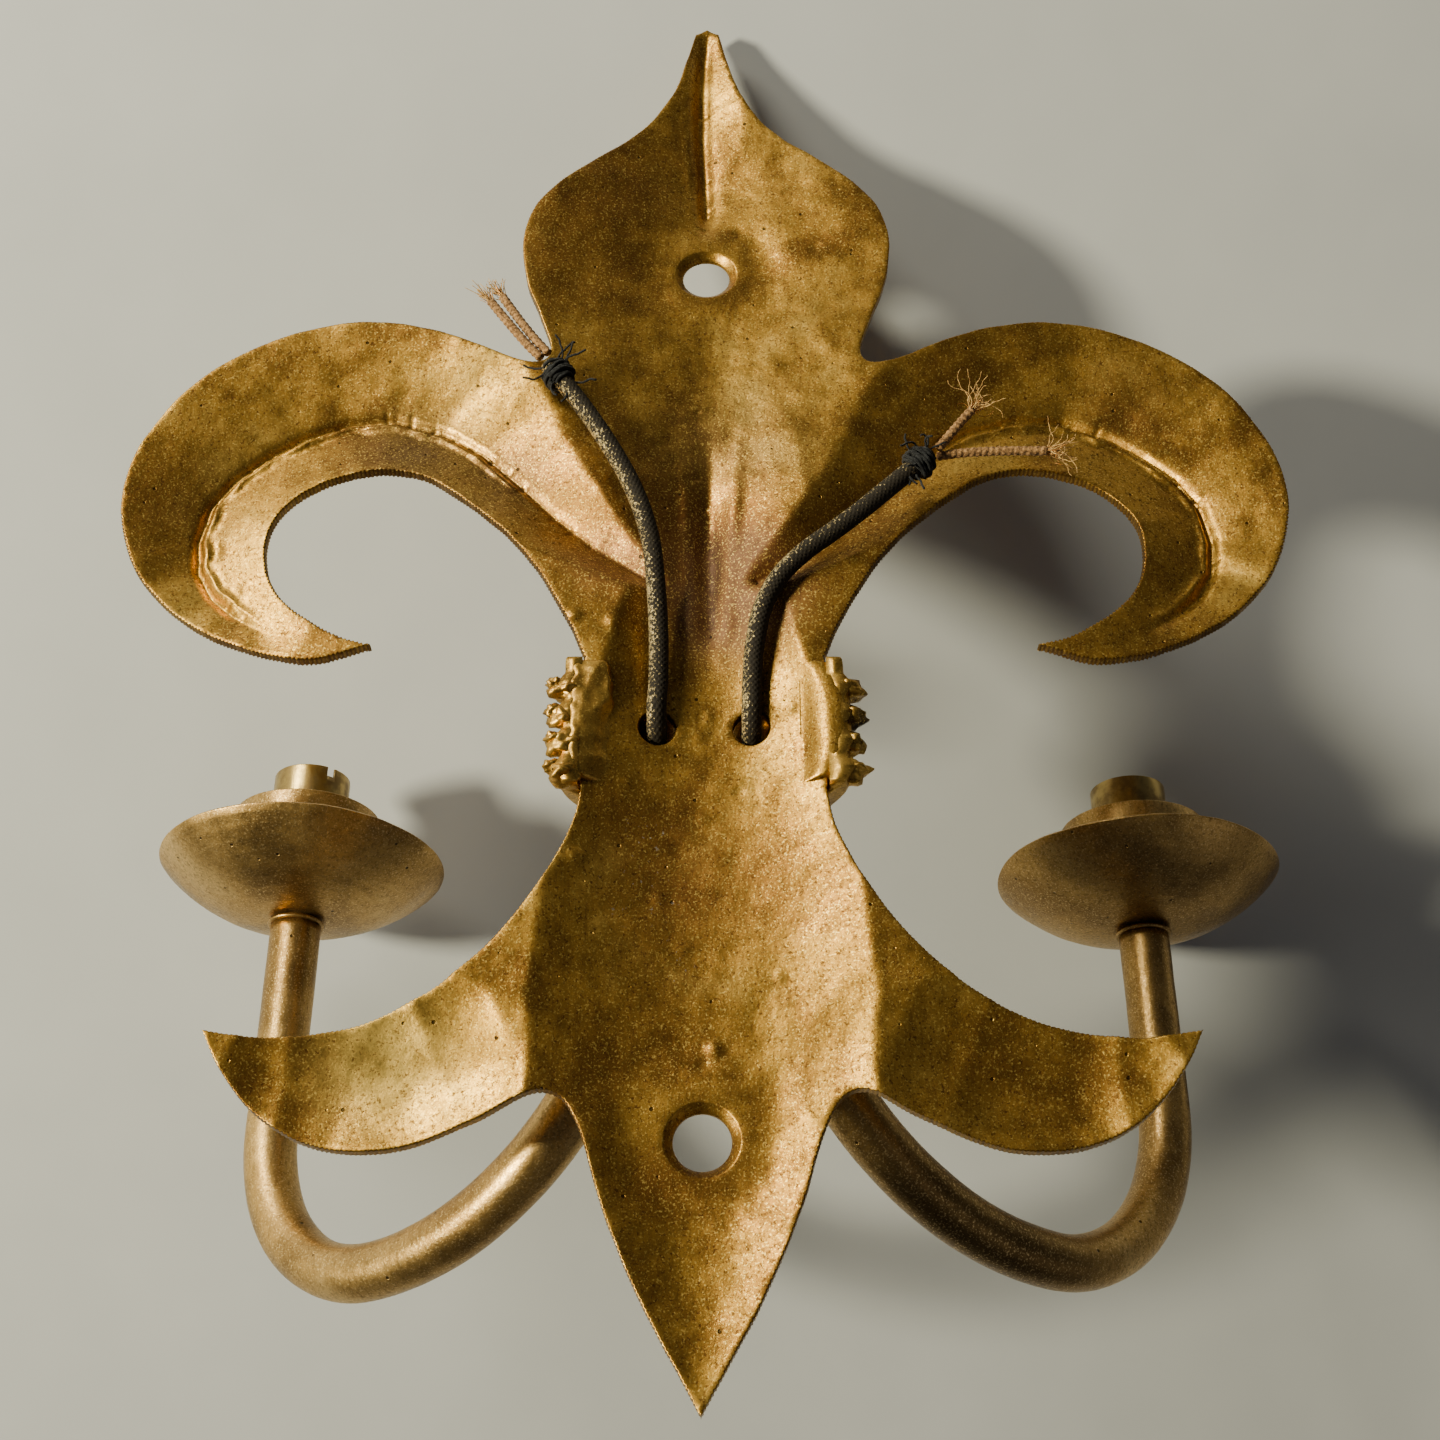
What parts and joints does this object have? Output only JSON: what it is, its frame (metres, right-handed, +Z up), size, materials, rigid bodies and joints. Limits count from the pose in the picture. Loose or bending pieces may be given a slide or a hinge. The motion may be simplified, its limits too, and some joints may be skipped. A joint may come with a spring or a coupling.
{
  "type": "two-arm wall sconce candle holder",
  "caption": "Wall sconce with a hammered fleur-de-lis backplate bound to swan-neck arms that carry drip pans, cups and candle lamp holders, wired through the back.",
  "frame": {"origin": "rear face of the flat land round the upper fixing hole, on the centreline, 13 mm below the hole's centre", "axes": "+Z up along the backplate, +Y rearwards into the wall, +X to the viewer's right when looking at the front"},
  "size_m": [0.3666, 0.1767, 0.4565],
  "materials": {
    "gilt_iron": "hammered wrought iron, worn gold leaf over brown size",
    "bronzed_iron": "bronze-gold lacquer over steel, rubbed and mottled",
    "brass": "dull brass",
    "steel": "zinc-plated steel",
    "copper": "bare copper",
    "porcelain": "off-white glazed porcelain",
    "cable_jacket": "black braided jacket with gold overspray",
    "core_textile": "brown braided core insulation",
    "thread": "black waxed thread"
  },
  "bodies": {
    "root": {"fleur_plate": "gilt_iron", "collar_band": "gilt_iron", "collar_braze_left": "gilt_iron", "arm_weld_left": "gilt_iron", "arm_tube_left": "bronzed_iron", "arm_flex_left": "cable_jacket", "seat_washer_left": "bronzed_iron", "drip_pan_left": "bronzed_iron", "cup_left": "bronzed_iron", "nipple_left": "steel", "lock_nut_left": "steel", "holder_shell_left": "brass", "insulator_left": "porcelain", "centre_contact_left": "copper", "screw_shell_left": "copper", "terminal_screw_left_1": "steel", "terminal_screw_left_2": "steel", "cable_tail_left": "cable_jacket", "cable_tie_left": "thread", "cable_core_left_1": "core_textile", "cable_core_left_2": "core_textile", "collar_braze_right": "gilt_iron", "arm_weld_right": "gilt_iron", "arm_tube_right": "bronzed_iron", "arm_flex_right": "cable_jacket", "seat_washer_right": "bronzed_iron", "drip_pan_right": "bronzed_iron", "cup_right": "bronzed_iron", "nipple_right": "steel", "lock_nut_right": "steel", "holder_shell_right": "brass", "insulator_right": "porcelain", "centre_contact_right": "copper", "screw_shell_right": "copper", "terminal_screw_right_1": "steel", "terminal_screw_right_2": "steel", "cable_tail_right": "cable_jacket", "cable_tie_right": "thread", "cable_core_right_1": "core_textile", "cable_core_right_2": "core_textile"}
  },
  "joints": []
}
